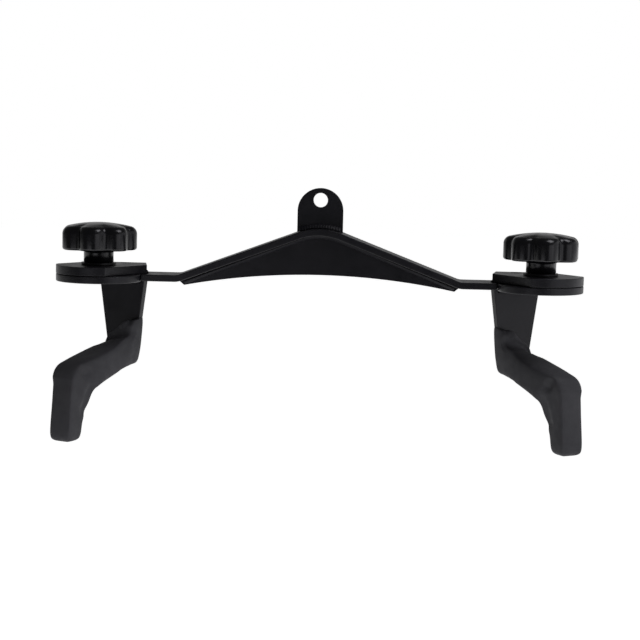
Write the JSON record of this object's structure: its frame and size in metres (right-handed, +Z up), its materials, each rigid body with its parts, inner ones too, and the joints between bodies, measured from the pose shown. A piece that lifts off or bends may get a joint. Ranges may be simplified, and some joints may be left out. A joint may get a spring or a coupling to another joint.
{
  "type": "lat pulldown bar",
  "caption": "Crossbar with a cable eye on its roof-shaped middle and, under each end, a hooked rubber grip that swivels and is clamped by a star knob.",
  "frame": {"origin": "centre of the eye hole, in the middle of the tab's thickness", "axes": "+X along the crossbar towards the right end, +Y to the back, away from the grips' free ends, +Z up along the pull of the cable"},
  "size_m": [0.4708, 0.0902, 0.2274],
  "materials": {
    "black_coat": "black powder coat, half gloss, fine texture",
    "coated_weld": "weld bead under black powder coat",
    "blackened_steel": "blackened steel",
    "grip_rubber": "matt black moulded rubber",
    "knob_plastic": "glossy black phenolic",
    "steel": "plain bright steel"
  },
  "bodies": {
    "crossbar": {"eye_tab": "black_coat", "eye_weld_front": "coated_weld", "eye_weld_back": "coated_weld", "crossbar_strap": "black_coat", "web_plate": "black_coat", "web_weld_front": "coated_weld", "web_weld_back": "coated_weld", "left_end_plate": "black_coat", "left_end_weld_top": "coated_weld", "left_end_weld_back": "coated_weld", "right_end_plate": "black_coat", "right_end_weld_top": "coated_weld", "right_end_weld_back": "coated_weld"},
    "left_handle": {"left_swivel_disc": "black_coat", "left_arm": "black_coat", "left_arm_weld": "coated_weld", "left_grip_core": "steel", "left_core_weld": "coated_weld", "left_grip": "grip_rubber"},
    "left_clamp": {"left_clamp_washer": "blackened_steel"},
    "left_knob": {"left_knob_head": "knob_plastic", "left_knob_insert": "steel", "left_clamp_stud": "steel"},
    "right_handle": {"right_swivel_disc": "black_coat", "right_arm": "black_coat", "right_arm_weld": "coated_weld", "right_grip_core": "steel", "right_core_weld": "coated_weld", "right_grip": "grip_rubber"},
    "right_clamp": {"right_clamp_washer": "blackened_steel"},
    "right_knob": {"right_knob_head": "knob_plastic", "right_knob_insert": "steel", "right_clamp_stud": "steel"}
  },
  "joints": [
    {"name": "left_handle_swivel", "type": "hinge", "parent": "crossbar", "child": "left_handle", "pos_m": [-0.1974, -0.016, -0.0697], "axis": [0, 0, 1], "continuous": true},
    {"name": "left_knob_lift", "type": "slide", "parent": "crossbar", "child": "left_clamp", "axis": [0, 0, 1], "range_m": [0, 0.00351]},
    {"name": "left_knob_turn", "type": "hinge", "parent": "left_clamp", "child": "left_knob", "pos_m": [-0.1974, -0.016, -0.0697], "axis": [0, 0, 1], "range_deg": [0, 720]},
    {"name": "right_handle_swivel", "type": "hinge", "parent": "crossbar", "child": "right_handle", "pos_m": [0.1974, -0.016, -0.0697], "axis": [0, 0, 1], "continuous": true},
    {"name": "right_knob_lift", "type": "slide", "parent": "crossbar", "child": "right_clamp", "axis": [0, 0, 1], "range_m": [0, 0.00351]},
    {"name": "right_knob_turn", "type": "hinge", "parent": "right_clamp", "child": "right_knob", "pos_m": [0.1974, -0.016, -0.0697], "axis": [0, 0, 1], "range_deg": [0, 720]}
  ],
  "couplings": [
    {"joint": "left_knob_lift", "follows": "left_knob_turn", "m_per_rad": 0.00027852},
    {"joint": "right_knob_lift", "follows": "right_knob_turn", "m_per_rad": 0.00027852}
  ]
}
